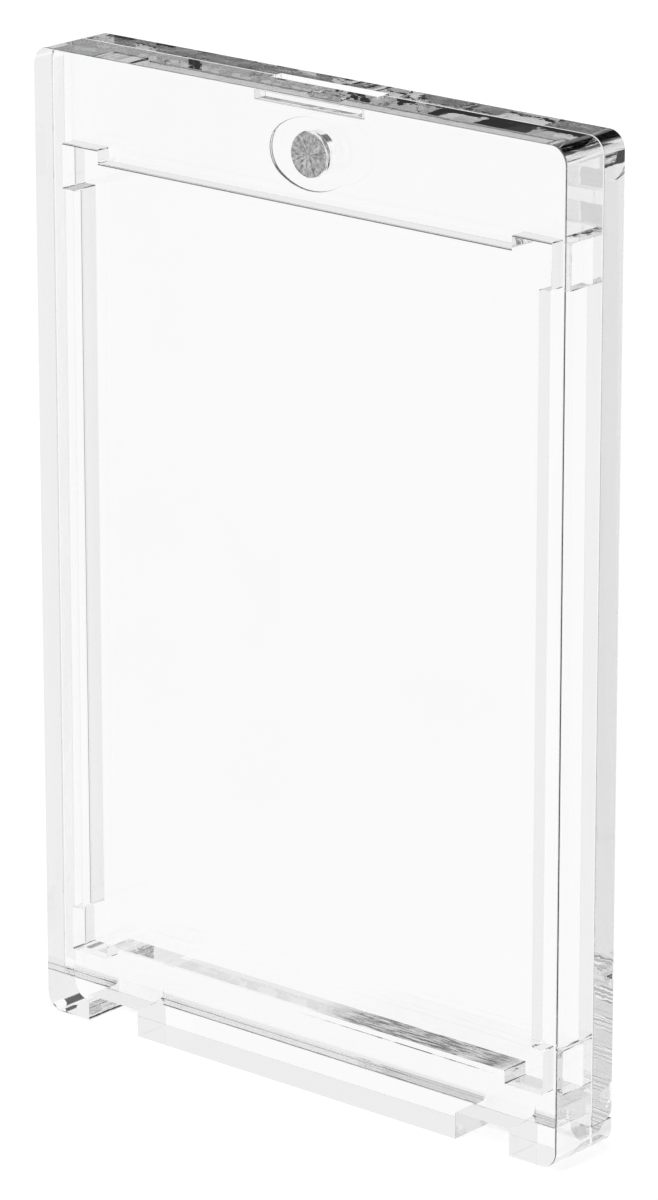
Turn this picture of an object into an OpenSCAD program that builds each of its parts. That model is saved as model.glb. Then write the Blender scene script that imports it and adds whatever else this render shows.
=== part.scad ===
// Clear two-shell display case for one thick trading card.
// The front shell carries the recess for the card and a full-depth foot rail.
// The rear shell stands on that rail, hooks two tongues down through its
// notches, and is held shut by a round magnet at the top centre.
//
// Frame: X is the width, Y runs from the front face to the rear face,
// Z is up. The origin is the middle of the footprint, on the surface
// that the case stands on. Millimetres.

/* [Case] */
// Overall width
case_w = 73.0; // [70:0.1:80]
// Overall height
case_h = 110.7; // [109:0.1:120]
// Thickness of the front shell
front_t = 6.12; // [5.6:0.02:7]
// Thickness of the rear shell
rear_t = 3.38; // [3:0.02:4.5]
// Gap between the closed shells
part_gap = 0.05; // [0.03:0.01:0.12]
// Radius of the outer corners (the lower corners of the rear shell are square)
corner_r = 2.0; // [1.2:0.1:3]

/* [Card space] */
// Thickness of the clear front wall
front_wall = 2.58; // [2:0.02:2.8]
// Width of the card space
card_w = 64.16; // [63.8:0.02:65]
// Height of the card space
card_h = 89.78; // [89.2:0.02:91]
// Height of the floor of the card space above the table
card_z = 8.92; // [8.2:0.02:9.4]
// How far each corner relief reaches out sideways
relief_out_x = 1.57; // [0.8:0.01:1.8]
// How far each corner relief reaches up or down
relief_out_z = 1.48; // [0.8:0.01:1.8]
// How far each corner relief runs along the edges from the corner
relief_run = 3.6; // [2.5:0.1:5]

/* [Foot and tongues] */
// Height of the foot rail
rail_h = 3.1; // [2.6:0.05:3.4]
// Inner side of each notch, measured from the middle
notch_in = 22.85; // [20:0.05:24]
// Width of each notch
notch_w = 7.35; // [6.5:0.05:8]
// Side clearance of a tongue in its notch
tongue_side = 0.32; // [0.15:0.01:0.6]
// Clearance under a tongue
tongue_under = 0.2; // [0.1:0.05:0.6]
// Radial clearance of the rounded front of a tongue
tongue_round = 0.1; // [0.06:0.01:0.3]
// Radius of the rear lower edge that the rear shell rolls over
heel_r = 1.25; // [0.4:0.05:1.6]

/* [Pry slot] */
// Length of the finger-nail slot in the top edge
slot_w = 14.8; // [10:0.1:18]
// Depth of the slot, down from the top
slot_h = 2.05; // [1.2:0.05:2.4]
// How far the slot cuts into each shell
slot_cut = 0.9; // [0.5:0.05:1.2]

/* [Magnet] */
// Diameter of the magnet and of the steel disc
magnet_d = 4.8; // [4:0.1:5.4]
// Length of the magnet
magnet_l = 2.2; // [1.5:0.1:2.6]
// Thickness of the steel disc
disc_t = 0.6; // [0.4:0.05:1]
// Height of the magnet above the table
magnet_z = 103.75; // [103.2:0.05:104.2]
// Radial clearance of both in their pockets
pocket_gap = 0.04; // [0.02:0.01:0.1]
// Film of adhesive at the bottom of both pockets
glue_gap = 0.03; // [0.02:0.01:0.1]
// Width of the oval recess around the magnet
oval_w = 11.2; // [9:0.1:12]
// Height of the oval recess around the magnet
oval_h = 7.9; // [7:0.1:8.2]
// Depth of the oval recess
oval_t = 0.3; // [0.2:0.05:0.8]

/* [Hidden] */

$fn = 96;
e = 1;                                   // overshoot of cutting tools
case_t = front_t + part_gap + rear_t;    // whole thickness
y_front = -case_t / 2;                   // front face
y_part = y_front + front_t;              // rear face of the front shell
y_seat = y_part + part_gap;              // front face of the rear shell
y_rear = case_t / 2;                     // rear face
card_y = y_front + front_wall;           // bottom of the card space
rear_z = rail_h + part_gap;              // lower edge of the rear shell
notch_mid = notch_in + notch_w / 2;      // middle of a notch
tongue_w = notch_w - 2 * tongue_side;    // width of a tongue
tongue_r = rear_t + part_gap - tongue_round; // rounded front of a tongue

// A box given by its lowest and highest corner
module box(lo, hi) {
    translate(lo) cube([hi[0] - lo[0], hi[1] - lo[1], hi[2] - lo[2]]);
}

// Outline of the case seen from the front, between two heights
module outline(w, z0, z1, r) {
    translate([-w / 2 + r, z0]) square([w - 2 * r, z1 - z0]);
    translate([-w / 2, z0 + r]) square([w, z1 - z0 - 2 * r]);
    for (x = [-w / 2 + r, w / 2 - r], z = [z0 + r, z1 - r])
        translate([x, z]) circle(r, $fn = 64);
}

// Stands a front-view outline up and gives it the depth from y0 to y1
module stand(y0, y1) {
    translate([0, y1, 0]) rotate([90, 0, 0]) linear_extrude(y1 - y0) children();
}

// A round bar or hole along Y
module bar_y(x, z, d, y0, y1) {
    translate([x, y1, z]) rotate([90, 0, 0]) cylinder(d = d, h = y1 - y0);
}

// A round bar along X
module bar_x(y, z, r, x0, x1) {
    translate([x0, y, z]) rotate([0, 90, 0]) cylinder(r = r, h = x1 - x0);
}

// Four-arc oval, w wide and h high, about the origin
module oval(w, h) {
    re = h * 0.405;                      // radius of the end arcs
    a = w / 2 - re;                      // centres of the end arcs
    q = h / 2 - re;
    b = (a * a - q * q) / (2 * q);       // centres of the flat arcs
    rs = h / 2 + b;                      // radius of the flat arcs
    xt = rs * a / sqrt(a * a + b * b);   // where the arcs meet
    intersection() {
        translate([0, -b]) circle(rs, $fn = 180);
        translate([0, b]) circle(rs, $fn = 180);
        square([2 * xt, 2 * h], center = true);
    }
    for (s = [-1, 1]) translate([s * a, 0]) circle(re);
}

// The card space: one rectangle and a relief at each corner
module card_space() {
    x = card_w / 2;
    z0 = card_z;
    z1 = card_z + card_h;
    box([-x, card_y, z0], [x, y_part + e, z1]);
    for (s = [-1, 1]) {
        xo = s * (x + relief_out_x);
        xi = s * (x - relief_run);
        box([min(xi, xo), card_y, z0 - relief_out_z],
            [max(xi, xo), y_part + e, z0 + relief_run]);
        box([min(xi, xo), card_y, z1 - relief_run],
            [max(xi, xo), y_part + e, z1 + relief_out_z]);
    }
}

// The finger-nail slot, cut from y0 to y1
module pry_slot(y0, y1) {
    box([-slot_w / 2, y0, case_h - slot_h], [slot_w / 2, y1, case_h + e]);
}

module front_shell() {
    color([0.93, 0.95, 0.96, 0.35])
    difference() {
        union() {
            stand(y_front, y_part) outline(case_w, 0, case_h, corner_r);
            // foot rail, as deep as the closed case
            stand(y_front, y_rear) intersection() {
                outline(case_w, 0, case_h, corner_r);
                translate([-case_w, 0]) square([2 * case_w, rail_h]);
            }
        }
        card_space();
        // notches for the tongues, open to the front, below and behind
        for (s = [-1, 1])
            box([s * notch_mid - notch_w / 2, y_front - e, -e],
                [s * notch_mid + notch_w / 2, y_rear + e, rail_h]);
        pry_slot(y_part - slot_cut, y_part + e);
        // pocket for the steel disc
        bar_y(0, magnet_z, magnet_d + 2 * pocket_gap,
              y_part - disc_t - glue_gap, y_part + e);
    }
}

module rear_shell() {
    color([0.90, 0.93, 0.95, 0.35])
    difference() {
        union() {
            difference() {
                // rounded at the two upper corners only
                stand(y_seat, y_rear) {
                    outline(case_w, rear_z, case_h, corner_r);
                    translate([-case_w / 2, rear_z]) square([case_w, case_h / 2]);
                }
                // rounded heel along the rear lower edge
                difference() {
                    box([-case_w, y_rear - heel_r, rear_z - e],
                        [case_w, y_rear + e, rear_z + heel_r]);
                    bar_x(y_rear - heel_r, rear_z + heel_r, heel_r,
                          -case_w - e, case_w + e);
                }
            }
            // tongues, rounded about the rear lower edge so that they can swing
            for (s = [-1, 1])
                intersection() {
                    bar_x(y_rear, rear_z, tongue_r,
                          s * notch_mid - tongue_w / 2, s * notch_mid + tongue_w / 2);
                    box([s * notch_mid - tongue_w, y_seat, tongue_under],
                        [s * notch_mid + tongue_w, y_rear, rear_z + heel_r]);
                }
        }
        pry_slot(y_seat - e, y_seat + slot_cut);
        // shallow oval recess, and the blind pocket for the magnet in it
        translate([0, 0, magnet_z]) stand(y_seat - e, y_seat + oval_t)
            oval(oval_w, oval_h);
        bar_y(0, magnet_z, magnet_d + 2 * pocket_gap,
              y_seat - e, y_seat + magnet_l + glue_gap);
    }
}

module magnet() {
    color([0.72, 0.72, 0.70])
    bar_y(0, magnet_z, magnet_d, y_seat, y_seat + magnet_l);
}

module steel_disc() {
    color([0.62, 0.62, 0.62])
    bar_y(0, magnet_z, magnet_d, y_part - disc_t, y_part);
}

front_shell();
rear_shell();
magnet();
steel_disc();
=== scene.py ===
"""Looks of the clear two-shell card case: finishes, edge rounding, camera, light and floor.

Metres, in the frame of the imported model: X width, Y front to back, Z up.
"""

import math

import bpy
from mathutils import Matrix, Vector

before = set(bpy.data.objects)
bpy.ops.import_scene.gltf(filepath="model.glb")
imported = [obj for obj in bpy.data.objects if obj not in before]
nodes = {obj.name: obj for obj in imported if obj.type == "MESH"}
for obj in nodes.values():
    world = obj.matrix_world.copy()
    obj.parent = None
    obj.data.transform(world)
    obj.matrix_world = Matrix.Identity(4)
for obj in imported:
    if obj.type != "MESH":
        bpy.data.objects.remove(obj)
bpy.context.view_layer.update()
scene = bpy.context.scene

# ------------------------------------------------------------------ camera
CAM_POS = (0.410394, -0.479962, 0.255769)
CAM_RIGHT = (0.761073, 0.648666, -0.000774)
CAM_DOWN = (0.196367, -0.231533, -0.952802)
CAM_FWD = (-0.618229, 0.725000, -0.303590)


def add_camera():
    data = bpy.data.cameras.new("camera")
    cam = bpy.data.objects.new("camera", data)
    scene.collection.objects.link(cam)
    m = Matrix.Identity(4)
    for i in range(3):
        m[i][0] = CAM_RIGHT[i]
        m[i][1] = -CAM_DOWN[i]
        m[i][2] = -CAM_FWD[i]
        m[i][3] = CAM_POS[i]
    cam.matrix_world = m
    data.sensor_fit = "AUTO"
    data.sensor_width = 36.0
    data.lens = 36.0 * 6194.62 / 1200.0
    data.clip_start = 0.01
    data.clip_end = 50.0
    scene.camera = cam


add_camera()


# ------------------------------------------------------------------ helpers
class Nodes:
    """Small wrapper that adds nodes to a tree and links them."""

    def __init__(self, tree):
        self.tree = tree
        tree.nodes.clear()

    def add(self, kind, values=None, **attrs):
        n = self.tree.nodes.new(kind)
        for k, v in attrs.items():
            setattr(n, k, v)
        for k, v in (values or {}).items():
            n.inputs[k].default_value = v
        return n

    def link(self, a, b):
        self.tree.links.new(a, b)


def new_material(name):
    mat = bpy.data.materials.new(name)
    mat.use_nodes = True
    return mat, Nodes(mat.node_tree)


def set_material(obj, mat):
    obj.data.materials.clear()
    obj.data.materials.append(mat)


def clear_plastic(name, tint, seed, draft=0.0, fillet_shade=(), streaked_shade=None):
    """Polished clear moulding: slow waviness of the walls, faint handling marks, a little draft on the sides.

    A fine dark line of painted shade lies in the fillets whose middle is at the depth and height given in fillet_shade,
    and painted shade in hair-like dark streaks lies on the level face between the two ends and at the height in
    streaked_shade.
    """
    mat, t = new_material(name)
    out = t.add("ShaderNodeOutputMaterial")
    bsdf = t.add("ShaderNodeBsdfPrincipled", {
        "Metallic": 0.0,
        "IOR": 1.59,
        "Transmission Weight": 1.0,
    })
    t.link(bsdf.outputs["BSDF"], out.inputs["Surface"])
    body = t.add("ShaderNodeVolumeAbsorption", {"Color": (0.5, 0.503, 0.505, 1.0), "Density": 3.6})
    t.link(body.outputs["Volume"], out.inputs["Volume"])
    coord = t.add("ShaderNodeTexCoord")
    shift = t.add("ShaderNodeMapping", {"Location": (seed, seed * 0.37, seed * 0.61)})
    t.link(coord.outputs["Object"], shift.inputs["Vector"])
    # roughness: very low, with faint smudges
    smudge = t.add("ShaderNodeTexNoise", {"Scale": 60.0, "Detail": 3.0, "Roughness": 0.55})
    t.link(shift.outputs["Vector"], smudge.inputs["Vector"])
    rough = t.add("ShaderNodeMapRange", {"From Min": 0.45, "From Max": 0.8, "To Min": 0.0, "To Max": 0.012})
    t.link(smudge.outputs["Fac"], rough.inputs["Value"])
    t.link(rough.outputs["Result"], bsdf.inputs["Roughness"])
    # the faintest haze where the smudges are
    haze = t.add("ShaderNodeValToRGB")
    haze.color_ramp.elements[0].position = 0.4
    haze.color_ramp.elements[0].color = (*tint, 1.0)
    haze.color_ramp.elements[1].position = 0.85
    haze.color_ramp.elements[1].color = tuple(c * 0.985 for c in tint) + (1.0,)
    t.link(smudge.outputs["Fac"], haze.inputs["Fac"])
    colour = haze.outputs["Color"]
    # painted shade: a fine near-black line put into the colour of the ceiling fillets of the card space
    if fillet_shade:
        at = t.add("ShaderNodeSeparateXYZ")
        t.link(coord.outputs["Object"], at.inputs["Vector"])
        turn = t.add("ShaderNodeSeparateXYZ")
        t.link(coord.outputs["Normal"], turn.inputs["Vector"])
        upright = t.add("ShaderNodeMath", {1: 0.0, 2: 0.5}, operation="COMPARE")
        t.link(turn.outputs["X"], upright.inputs[0])
        inside = t.add("ShaderNodeMath", {1: 0.0, 2: 0.034}, operation="COMPARE")
        t.link(at.outputs["X"], inside.inputs[0])
        total = t.add("ShaderNodeMath", {1: 0.0}, operation="ADD")
        total.inputs[0].default_value = 0.0
        for y, z in fillet_shade:
            deep = t.add("ShaderNodeMath", {1: y, 2: 0.000043}, operation="COMPARE")
            t.link(at.outputs["Y"], deep.inputs[0])
            high = t.add("ShaderNodeMath", {1: z, 2: 0.00007}, operation="COMPARE")
            t.link(at.outputs["Z"], high.inputs[0])
            both = t.add("ShaderNodeMath", operation="MULTIPLY_ADD")
            t.link(deep.outputs[0], both.inputs[0])
            t.link(high.outputs[0], both.inputs[1])
            t.link(total.outputs[0], both.inputs[2])
            total = both
        for part in (upright, inside):
            both = t.add("ShaderNodeMath", operation="MULTIPLY")
            t.link(total.outputs[0], both.inputs[0])
            t.link(part.outputs[0], both.inputs[1])
            total = both
        line = t.add("ShaderNodeMix", data_type="RGBA")
        t.link(total.outputs[0], line.inputs["Factor"])
        t.link(colour, line.inputs["A"])
        line.inputs["B"].default_value = (0.02, 0.02, 0.02, 1.0)
        colour = line.outputs["Result"]
    # painted shade: hair-like black streaks put into the colour of the level face of the ledge
    if streaked_shade:
        left, right, height = streaked_shade
        spot = t.add("ShaderNodeSeparateXYZ")
        t.link(coord.outputs["Object"], spot.inputs["Vector"])
        level = t.add("ShaderNodeMath", {1: height, 2: 0.00005}, operation="COMPARE")
        t.link(spot.outputs["Z"], level.inputs[0])
        start = t.add("ShaderNodeMapRange", {"From Min": left, "From Max": left + 0.2 * (right - left), "To Min": 0.0, "To Max": 1.0})
        t.link(spot.outputs["X"], start.inputs["Value"])
        end = t.add("ShaderNodeMapRange", {"From Min": right - 0.002, "From Max": right, "To Min": 1.0, "To Max": 0.0})
        t.link(spot.outputs["X"], end.inputs["Value"])
        long = t.add("ShaderNodeMapping", {"Scale": (240.0, 2600.0, 1.0)})
        t.link(coord.outputs["Object"], long.inputs["Vector"])
        streak_noise = t.add("ShaderNodeTexNoise", {"Scale": 1.0, "Detail": 5.0, "Roughness": 0.7})
        t.link(long.outputs["Vector"], streak_noise.inputs["Vector"])
        dark = t.add("ShaderNodeMapRange", {"From Min": 0.47, "From Max": 0.65, "To Min": 1.0, "To Max": 0.0})
        t.link(streak_noise.outputs["Fac"], dark.inputs["Value"])
        mask = level
        for part in (start, end, dark):
            both = t.add("ShaderNodeMath", operation="MULTIPLY")
            t.link(mask.outputs[0], both.inputs[0])
            t.link(part.outputs[0], both.inputs[1])
            mask = both
        streak = t.add("ShaderNodeMix", data_type="RGBA")
        t.link(mask.outputs[0], streak.inputs["Factor"])
        t.link(colour, streak.inputs["A"])
        streak.inputs["B"].default_value = (0.0, 0.0, 0.0, 1.0)
        colour = streak.outputs["Result"]
    t.link(colour, bsdf.inputs["Base Color"])
    # slow waviness of the moulded walls: the two wide faces are flat, the narrow sides are not
    wave = t.add("ShaderNodeTexNoise", {"Scale": 110.0, "Detail": 4.0, "Roughness": 0.6})
    t.link(shift.outputs["Vector"], wave.inputs["Vector"])
    sep = t.add("ShaderNodeSeparateXYZ")
    t.link(coord.outputs["Normal"], sep.inputs["Vector"])
    facing = t.add("ShaderNodeMath", operation="ABSOLUTE")
    t.link(sep.outputs["Y"], facing.inputs[0])
    force = t.add("ShaderNodeMapRange", {"From Min": 0.3, "From Max": 0.9, "To Min": 0.12, "To Max": 0.012})
    t.link(facing.outputs[0], force.inputs["Value"])
    bump = t.add("ShaderNodeBump", {"Distance": 0.0002})
    t.link(force.outputs["Result"], bump.inputs["Strength"])
    height = wave.outputs["Fac"]
    if draft:
        place = t.add("ShaderNodeSeparateXYZ")
        t.link(coord.outputs["Object"], place.inputs["Vector"])
        narrow = t.add("ShaderNodeMath", operation="ABSOLUTE")
        t.link(sep.outputs["X"], narrow.inputs[0])
        lean = t.add("ShaderNodeMath", operation="MULTIPLY")
        t.link(place.outputs["Y"], lean.inputs[0])
        t.link(narrow.outputs[0], lean.inputs[1])
        total = t.add("ShaderNodeMath", operation="MULTIPLY_ADD")
        t.link(lean.outputs[0], total.inputs[0])
        total.inputs[1].default_value = draft
        t.link(height, total.inputs[2])
        height = total.outputs[0]
    t.link(height, bump.inputs["Height"])
    t.link(bump.outputs["Normal"], bsdf.inputs["Normal"])
    return mat


def dull_metal(name, colour, rough, rays, centre, seed):
    """Metal disc whose face carries fine rays from its middle."""
    mat, t = new_material(name)
    out = t.add("ShaderNodeOutputMaterial")
    bsdf = t.add("ShaderNodeBsdfPrincipled", {"Metallic": 1.0, "Roughness": rough})
    t.link(bsdf.outputs["BSDF"], out.inputs["Surface"])
    coord = t.add("ShaderNodeTexCoord")
    shift = t.add("ShaderNodeMapping", {"Location": (-centre[0], -centre[1], -centre[2])})
    t.link(coord.outputs["Object"], shift.inputs["Vector"])
    sep = t.add("ShaderNodeSeparateXYZ")
    t.link(shift.outputs["Vector"], sep.inputs["Vector"])
    ang = t.add("ShaderNodeMath", operation="ARCTAN2")
    t.link(sep.outputs["Z"], ang.inputs[0])
    t.link(sep.outputs["X"], ang.inputs[1])
    spin = t.add("ShaderNodeMath", operation="MULTIPLY")
    spin.inputs[1].default_value = rays / (2 * math.pi)
    t.link(ang.outputs[0], spin.inputs[0])
    rad = t.add("ShaderNodeVectorMath", operation="LENGTH")
    t.link(shift.outputs["Vector"], rad.inputs[0])
    radm = t.add("ShaderNodeMath", operation="MULTIPLY")
    radm.inputs[1].default_value = 450.0
    t.link(rad.outputs["Value"], radm.inputs[0])
    polar = t.add("ShaderNodeCombineXYZ")
    t.link(spin.outputs[0], polar.inputs["X"])
    t.link(radm.outputs[0], polar.inputs["Y"])
    polar.inputs["Z"].default_value = seed
    noise = t.add("ShaderNodeTexNoise", {"Scale": 1.0, "Detail": 4.0, "Roughness": 0.75})
    t.link(polar.outputs["Vector"], noise.inputs["Vector"])
    grain = t.add("ShaderNodeTexNoise", {"Scale": 2600.0, "Detail": 2.0, "Roughness": 0.6})
    t.link(shift.outputs["Vector"], grain.inputs["Vector"])
    mix = t.add("ShaderNodeMath", operation="ADD")
    half = t.add("ShaderNodeMath", operation="MULTIPLY")
    half.inputs[1].default_value = 0.5
    t.link(grain.outputs["Fac"], half.inputs[0])
    t.link(noise.outputs["Fac"], mix.inputs[0])
    t.link(half.outputs[0], mix.inputs[1])
    ramp = t.add("ShaderNodeValToRGB")
    ramp.color_ramp.elements[0].position = 0.6
    ramp.color_ramp.elements[0].color = tuple(c * 0.22 for c in colour) + (1.0,)
    ramp.color_ramp.elements[1].position = 0.9
    ramp.color_ramp.elements[1].color = tuple(min(1.0, c * 1.45) for c in colour) + (1.0,)
    t.link(mix.outputs[0], ramp.inputs["Fac"])
    t.link(ramp.outputs["Color"], bsdf.inputs["Base Color"])
    bump = t.add("ShaderNodeBump", {"Strength": 0.4, "Distance": 0.00005})
    t.link(mix.outputs[0], bump.inputs["Height"])
    t.link(bump.outputs["Normal"], bsdf.inputs["Normal"])
    return mat


# ------------------------------------------------------------------ finishes
# the front shell's colour carries painted shade: a dark line in the two ceiling fillets and dark streaks on the ledge
set_material(nodes["front_shell"], clear_plastic("clear_front", (0.999, 1.0, 1.0), 3.0,
                                                    fillet_shade=((-0.002148, 0.098571), (-0.002148, 0.100051)), streaked_shade=(0.0008, 0.0285, 0.00892)))
set_material(nodes["rear_shell"], clear_plastic("clear_rear", (0.999, 1.0, 1.0), 11.0, draft=-2200.0))
set_material(nodes["magnet"], dull_metal("magnet_metal", (0.6, 0.59, 0.58), 0.3, 26.0, (0.0, 0.0, 0.10375), 5.0))
set_material(nodes["steel_disc"], dull_metal("disc_metal", (0.5, 0.5, 0.5), 0.45, 34.0, (0.0, 0.0, 0.10375), 1.0))


SEAM_Y = 0.001345    # rear face of the front shell
WALL_Y = -0.002195   # inner face of the front wall


CRISP = 0.12         # rounding of the crisp edges, as a part of the full rounding


def edge_marker(name, low, keep_out, bold, ring, usual):
    """Geometry nodes that say how far each hard edge is rounded.

    The foot, below the height low, and the open rim of the card space are crisp,
    but the outline of the front face is rounded all the way around its corners.
    The front edges of the ceiling of the card space, at the heights in bold, and the
    oval about the magnet, between the two radii in ring, are rounded most. The small
    blends of the tongues, in keep_out, are left alone.
    """
    g = bpy.data.node_groups.new(name, "GeometryNodeTree")
    g.interface.new_socket("Geometry", in_out="INPUT", socket_type="NodeSocketGeometry")
    g.interface.new_socket("Geometry", in_out="OUTPUT", socket_type="NodeSocketGeometry")
    t = Nodes(g)
    first = t.add("NodeGroupInput")
    last = t.add("NodeGroupOutput")

    def compare(src, op, value):
        c = t.add("FunctionNodeCompare", data_type="FLOAT", operation=op)
        t.link(src, c.inputs[0])
        c.inputs[1].default_value = value
        return c.outputs[0]

    def logic(op, x, y=None):
        n = t.add("FunctionNodeBooleanMath", operation=op)
        t.link(x, n.inputs[0])
        if y is not None:
            t.link(y, n.inputs[1])
        return n.outputs[0]

    angle = t.add("GeometryNodeInputMeshEdgeAngle")
    hard = compare(angle.outputs["Unsigned Angle"], "GREATER_THAN", math.radians(30.0))
    pos = t.add("GeometryNodeInputPosition")
    sep = t.add("ShaderNodeSeparateXYZ")
    t.link(pos.outputs[0], sep.inputs[0])
    ax = t.add("ShaderNodeMath", operation="ABSOLUTE")
    t.link(sep.outputs["X"], ax.inputs[0])
    off = t.add("ShaderNodeMath", operation="SUBTRACT")
    t.link(sep.outputs["Y"], off.inputs[0])
    off.inputs[1].default_value = SEAM_Y
    dy = t.add("ShaderNodeMath", operation="ABSOLUTE")
    t.link(off.outputs[0], dy.inputs[0])
    within = logic("AND", compare(ax.outputs[0], "LESS_THAN", 0.0344), compare(sep.outputs["Z"], "LESS_THAN", 0.1008))
    rim = logic("AND", within, compare(dy.outputs[0], "LESS_THAN", 0.0001))
    inner = logic("OR", compare(sep.outputs["Y"], "GREATER_THAN", -0.0047), compare(ax.outputs[0], "LESS_THAN", 0.0303))
    foot = logic("AND", inner, compare(sep.outputs["Z"], "LESS_THAN", low))
    wall = logic("AND", compare(sep.outputs["Y"], "GREATER_THAN", WALL_Y - 5e-5), compare(sep.outputs["Y"], "LESS_THAN", WALL_Y + 5e-5))
    crisp = logic("OR", logic("OR", rim, logic("AND", wall, within)), foot)
    pick = t.add("GeometryNodeSwitch", input_type="FLOAT")
    t.link(crisp, pick.inputs[0])
    pick.inputs[1].default_value = usual
    pick.inputs[2].default_value = CRISP * usual
    weight = t.add("ShaderNodeMath", operation="MULTIPLY")
    t.link(pick.outputs[0], weight.inputs[0])
    for y, z in bold:
        back = logic("AND", compare(sep.outputs["Y"], "GREATER_THAN", y - 5e-5), compare(sep.outputs["Y"], "LESS_THAN", y + 5e-5))
        high = logic("AND", compare(sep.outputs["Z"], "GREATER_THAN", z - 5e-5), compare(sep.outputs["Z"], "LESS_THAN", z + 5e-5))
        more = t.add("GeometryNodeSwitch", input_type="FLOAT")
        t.link(logic("AND", back, high), more.inputs[0])
        t.link(pick.outputs[0], more.inputs[1])
        more.inputs[2].default_value = 1.0
        t.link(more.outputs[0], weight.inputs[0])
        pick = more
    if ring:
        flat = t.add("ShaderNodeCombineXYZ")
        t.link(sep.outputs["X"], flat.inputs["X"])
        t.link(sep.outputs["Z"], flat.inputs["Z"])
        reach = t.add("ShaderNodeVectorMath", operation="DISTANCE")
        t.link(flat.outputs[0], reach.inputs[0])
        reach.inputs[1].default_value = (0.0, 0.0, 0.10375)
        about = logic("AND", compare(reach.outputs["Value"], "GREATER_THAN", ring[0]), compare(reach.outputs["Value"], "LESS_THAN", ring[1]))
        about = logic("AND", about, compare(sep.outputs["Z"], "LESS_THAN", 0.1082))
        more = t.add("GeometryNodeSwitch", input_type="FLOAT")
        t.link(about, more.inputs[0])
        t.link(pick.outputs[0], more.inputs[1])
        more.inputs[2].default_value = 1.0
        t.link(more.outputs[0], weight.inputs[0])
    crease = None
    if keep_out:
        (x0, x1), z1 = keep_out
        inside = logic("AND", logic("AND", compare(ax.outputs[0], "GREATER_THAN", x0), compare(ax.outputs[0], "LESS_THAN", x1)),
                       compare(sep.outputs["Z"], "LESS_THAN", z1))
        t.link(logic("AND", hard, logic("NOT", inside)), weight.inputs[1])
        crease = logic("AND", hard, inside)
    else:
        t.link(hard, weight.inputs[1])
    store = t.add("GeometryNodeStoreNamedAttribute", data_type="FLOAT", domain="EDGE")
    store.inputs["Name"].default_value = "bevel_weight_edge"
    t.link(first.outputs[0], store.inputs["Geometry"])
    t.link(weight.outputs[0], store.inputs["Value"])
    # hard edges that stay as they are keep a crease in the shading, the others are smooth
    sharp = t.add("GeometryNodeStoreNamedAttribute", data_type="BOOLEAN", domain="EDGE")
    sharp.inputs["Name"].default_value = "sharp_edge"
    sharp.inputs["Value"].default_value = False
    t.link(store.outputs[0], sharp.inputs["Geometry"])
    if crease is not None:
        t.link(crease, sharp.inputs["Value"])
    t.link(sharp.outputs[0], last.inputs[0])
    return g


def round_edges(obj, width, low, keep_out=None, bold=(), ring=None, usual=1.0, segments=4):
    """Small rounding on the hard edges, with soft shading across it."""
    join = obj.modifiers.new("join_corners", "WELD")
    join.merge_threshold = 2e-6
    flat = obj.modifiers.new("merge_flat_faces", "DECIMATE")
    flat.decimate_type = "DISSOLVE"
    flat.angle_limit = math.radians(0.5)
    mark = obj.modifiers.new("mark_hard_edges", "NODES")
    mark.node_group = edge_marker(obj.name + "_edges", low, keep_out, bold, ring, usual)
    m = obj.modifiers.new("edge_rounding", "BEVEL")
    m.width = width
    m.segments = segments
    m.limit_method = "WEIGHT"
    m.miter_outer = "MITER_SHARP"
    m.use_clamp_overlap = False
    soft = obj.modifiers.new("face_shading", "WEIGHTED_NORMAL")
    soft.mode = "FACE_AREA"
    soft.weight = 100
    soft.keep_sharp = True
    for p in obj.data.polygons:
        p.use_smooth = True


round_edges(nodes["front_shell"], 0.00025, 0.0033, bold=((-0.002195, 0.0987), (-0.002195, 0.10018)), usual=0.72)
round_edges(nodes["rear_shell"], 0.0001, 0.0, keep_out=((0.0229, 0.0303), 0.00441), ring=(0.003, 0.0062), usual=0.4)


# ------------------------------------------------------------------ floor and light
def add_floor():
    """Plain pale floor, seen by the camera; the glass-clear case looks at the studio tent instead."""
    me = bpy.data.meshes.new("floor")
    r = 6.0
    z = -0.00002
    me.from_pydata([(-r, -r, z), (r, -r, z), (r, r, z), (-r, r, z)], [], [(0, 1, 2, 3)])
    me.update()
    floor = bpy.data.objects.new("floor", me)
    scene.collection.objects.link(floor)
    mat, t = new_material("floor_pale")
    out = t.add("ShaderNodeOutputMaterial")
    bsdf = t.add("ShaderNodeBsdfPrincipled", {
        "Base Color": (0.5, 0.5, 0.5, 1.0),
        "Roughness": 0.8,
        "Emission Color": (1.0, 1.0, 1.0, 1.0),
        "Emission Strength": 0.62,
    })
    t.link(bsdf.outputs["BSDF"], out.inputs["Surface"])
    set_material(floor, mat)
    floor.visible_transmission = False
    floor.visible_glossy = False


def aim(azimuth, elevation):
    a, e = math.radians(azimuth), math.radians(elevation)
    return (math.cos(e) * math.cos(a), math.cos(e) * math.sin(a), math.sin(e))


# Soft dark flags of the light tent: direction (azimuth, elevation), inner and outer radius in degrees, and how much light they take.
FLAGS = (
    (230.0, -18.0, 12.0, 20.0, 0.14),
    (230.0, 14.0, 8.0, 16.0, 0.25),
    (130.0, 18.0, 14.0, 20.0, 0.125),
    (158.0, -18.0, 8.0, 18.0, 0.70),
    (337.0, -15.0, 8.0, 16.0, 0.60),
    (90.0, 46.0, 14.0, 24.0, 0.97),
    (270.0, -42.0, 8.0, 18.0, 0.80),
    (190.0, 47.0, 10.0, 18.0, 0.50),
    (217.0, 30.0, 5.0, 10.0, 0.70),
    (15.0, -10.0, 8.0, 16.0, 0.50),
)


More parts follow.
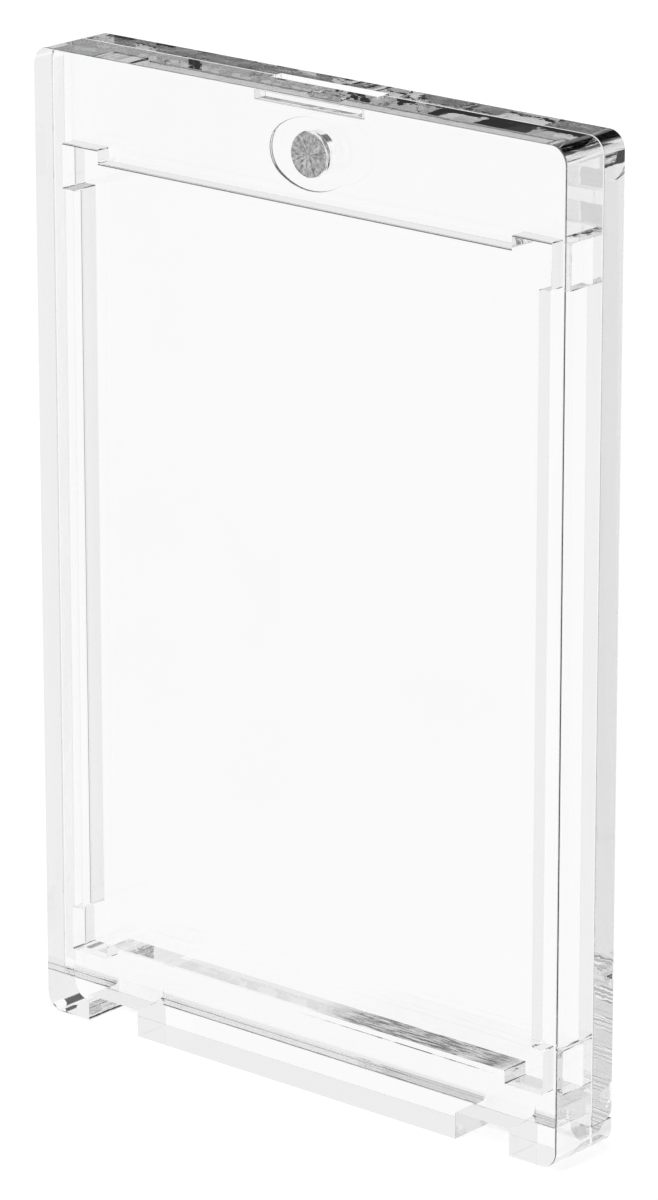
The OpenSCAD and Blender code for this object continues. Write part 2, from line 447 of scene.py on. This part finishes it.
def add_world():
    world = bpy.data.worlds.new("studio")
    scene.world = world
    world.use_nodes = True
    t = Nodes(world.node_tree)
    out = t.add("ShaderNodeOutputWorld")
    coord = t.add("ShaderNodeTexCoord")
    ray = coord.outputs["Generated"]
    level = None

    def times(x, y):
        m = t.add("ShaderNodeMath", operation="MULTIPLY")
        t.link(x, m.inputs[0])
        t.link(y, m.inputs[1])
        return m.outputs[0]

    def ramp(src, x0, x1, y0, y1):
        r = t.add("ShaderNodeMapRange", {"From Min": x0, "From Max": x1, "To Min": y0, "To Max": y1},
                  interpolation_type="SMOOTHSTEP")
        t.link(src, r.inputs["Value"])
        return r.outputs["Result"]

    for az, el, inner, outer, take in FLAGS:
        dot = t.add("ShaderNodeVectorMath", operation="DOT_PRODUCT")
        t.link(ray, dot.inputs[0])
        dot.inputs[1].default_value = aim(az, el)
        keep = ramp(dot.outputs["Value"], math.cos(math.radians(outer)), math.cos(math.radians(inner)), 1.0, 1.0 - take)
        level = keep if level is None else times(level, keep)

    # upright grey post of the tent frame
    post = t.add("ShaderNodeVectorMath", operation="DOT_PRODUCT")
    t.link(ray, post.inputs[0])
    post.inputs[1].default_value = aim(140.0, 0.0)
    ahead = t.add("ShaderNodeVectorMath", operation="DOT_PRODUCT")
    t.link(ray, ahead.inputs[0])
    ahead.inputs[1].default_value = aim(50.0, 0.0)
    aside = t.add("ShaderNodeMath", operation="ABSOLUTE")
    t.link(post.outputs["Value"], aside.inputs[0])
    near = ramp(aside.outputs[0], math.sin(math.radians(6.5)), math.sin(math.radians(9.5)), 1.0, 0.0)
    level = times(level, ramp(times(near, ramp(ahead.outputs["Value"], 0.6, 0.75, 0.0, 1.0)), 0.0, 1.0, 1.0, 0.865))

    # dark gap between the table and the back light
    sep = t.add("ShaderNodeSeparateXYZ")
    t.link(ray, sep.inputs[0])
    rise = ramp(sep.outputs["Z"], math.sin(math.radians(2.0)), math.sin(math.radians(6.0)), 0.0, 1.0)
    fall = ramp(sep.outputs["Z"], math.sin(math.radians(14.5)), math.sin(math.radians(21.0)), 1.0, 0.0)
    side = t.add("ShaderNodeVectorMath", operation="DOT_PRODUCT")
    t.link(ray, side.inputs[0])
    side.inputs[1].default_value = aim(100.0, 0.0)
    wide = ramp(side.outputs["Value"], math.cos(math.radians(65.0)), math.cos(math.radians(50.0)), 0.0, 1.0)
    gap = times(times(rise, fall), wide)
    path = t.add("ShaderNodeLightPath")
    mirrored = t.add("ShaderNodeMath", operation="SUBTRACT")
    mirrored.inputs[0].default_value = 1.0
    t.link(path.outputs["Is Transmission Ray"], mirrored.inputs[1])
    keep = ramp(times(gap, mirrored.outputs[0]), 0.0, 1.0, 1.0, 0.12)
    level = times(level, keep)

    tent = t.add("ShaderNodeBackground", {"Color": (1.0, 1.0, 1.0, 1.0)})
    t.link(level, tent.inputs["Strength"])
    open_white = t.add("ShaderNodeBackground", {"Color": (1.0, 1.0, 1.0, 1.0), "Strength": 1.0})
    mix = t.add("ShaderNodeMixShader")
    t.link(path.outputs["Is Camera Ray"], mix.inputs["Fac"])
    t.link(tent.outputs[0], mix.inputs[1])
    t.link(open_white.outputs[0], mix.inputs[2])
    t.link(mix.outputs[0], out.inputs["Surface"])


add_floor()
add_world()

scene.view_settings.view_transform = "Standard"
scene.view_settings.look = "None"
scene.cycles.max_bounces = 24
scene.cycles.transmission_bounces = 24
scene.cycles.glossy_bounces = 24
scene.cycles.transparent_max_bounces = 8
scene.cycles.caustics_refractive = True
scene.cycles.caustics_reflective = True
scene.cycles.blur_glossy = 0.0
scene.cycles.sample_clamp_indirect = 0.0
